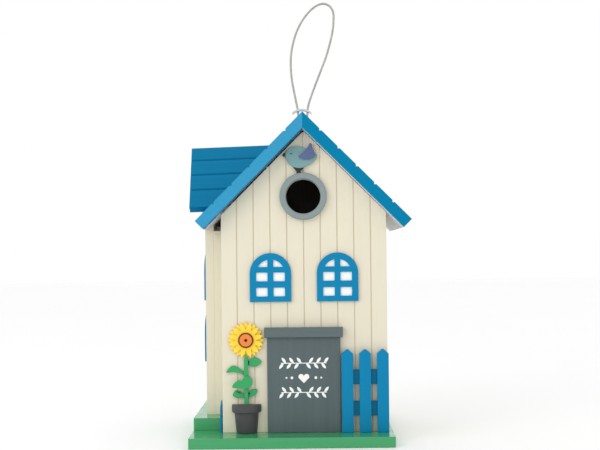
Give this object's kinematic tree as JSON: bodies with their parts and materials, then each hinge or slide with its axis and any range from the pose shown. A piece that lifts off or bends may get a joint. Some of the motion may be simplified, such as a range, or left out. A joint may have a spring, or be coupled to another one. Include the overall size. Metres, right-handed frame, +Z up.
{
  "type": "birdhouse",
  "caption": "Hanging wooden birdhouse shaped like a cottage, with a round entrance, a gabled side wing, cut-out trim, a wire loop and a hinged clean-out door at the back.",
  "frame": {"origin": "underside of the base board, below the main ridge and half-way along the base's depth", "axes": "+Z up, -Y out of the front wall and its entrance hole, +X to the right as seen from the front"},
  "size_m": [0.2116, 0.196, 0.4234],
  "materials": {
    "cream_paint": "satin brushed paint over grooved board",
    "blue_paint": "semi-gloss paint",
    "green_paint": "semi-gloss paint",
    "slate_paint": "satin paint",
    "grey_paint": "satin paint",
    "charcoal_paint": "satin paint",
    "white_paint": "satin paint",
    "petal_yellow": "satin paint",
    "disc_orange": "satin paint",
    "disc_brown": "satin paint",
    "leaf_paint": "satin paint",
    "bird_blue": "satin stain",
    "bird_purple": "satin stain",
    "trim_black": "satin paint",
    "raw_wood": "bare planed wood",
    "wire_rope": "stranded wire",
    "aluminium": "brushed",
    "zinc_steel": "zinc plated",
    "brass": "satin"
  },
  "bodies": {
    "house": {"base_board": "green_paint", "wing_base_board": "green_paint", "front_wall": "cream_paint", "back_wall": "cream_paint", "left_wall": "cream_paint", "right_wall": "cream_paint", "wing_gable_wall": "cream_paint", "wing_front_filler": "cream_paint", "wing_back_filler": "cream_paint", "roof_panel_left": "blue_paint", "roof_panel_right": "blue_paint", "wing_roof_front": "blue_paint", "wing_roof_back": "blue_paint", "front_window_left": "blue_paint", "front_window_right": "blue_paint", "wing_window_1": "blue_paint", "wing_window_2": "blue_paint", "wing_window_3": "blue_paint", "wing_window_4": "blue_paint", "fence_picket_1": "blue_paint", "fence_picket_2": "blue_paint", "fence_picket_3": "blue_paint", "fence_rails": "blue_paint", "side_fence_picket": "blue_paint", "side_fence_rail": "blue_paint", "ridge_block": "raw_wood", "entrance_ring": "grey_paint", "window_backings": "white_paint", "door_ornament": "white_paint", "door_panel": "slate_paint", "door_lintel": "slate_paint", "flower_pot": "charcoal_paint", "flower_stem": "leaf_paint", "flower_leaves": "leaf_paint", "flower_middle_leaf": "leaf_paint", "flower_petals_back": "petal_yellow", "flower_petals_front": "petal_yellow", "flower_disc": "disc_orange", "flower_disc_ring": "disc_brown", "flower_disc_centre": "disc_brown", "bird_body": "bird_blue", "bird_wing": "bird_purple", "bird_beak": "trim_black", "bird_legs": "trim_black", "hanging_loop": "wire_rope", "loop_clamp": "aluminium", "loop_ferrules": "aluminium", "loop_plate": "zinc_steel", "base_screws": "zinc_steel", "roof_nails": "zinc_steel", "hinge_frame_leaves": "brass", "hinge_pins": "brass", "hinge_frame_screws": "brass", "turn_button_screw": "brass"},
    "clean_out": {"clean_out_door": "cream_paint", "clean_out_knob": "blue_paint", "hinge_door_leaves": "brass", "hinge_door_screws": "brass"},
    "button": {"turn_button": "blue_paint"}
  },
  "joints": [
    {"name": "clean_out_hinge", "type": "hinge", "parent": "house", "child": "clean_out", "pos_m": [0.04, 0.0802, 0.095], "axis": [0, 0, -1], "range_deg": [0, 110]},
    {"name": "turn_button_pivot", "type": "hinge", "parent": "house", "child": "button", "pos_m": [-0.05, 0.0797, 0.095], "axis": [0, 1, 0], "range_deg": [0, 90]}
  ]
}
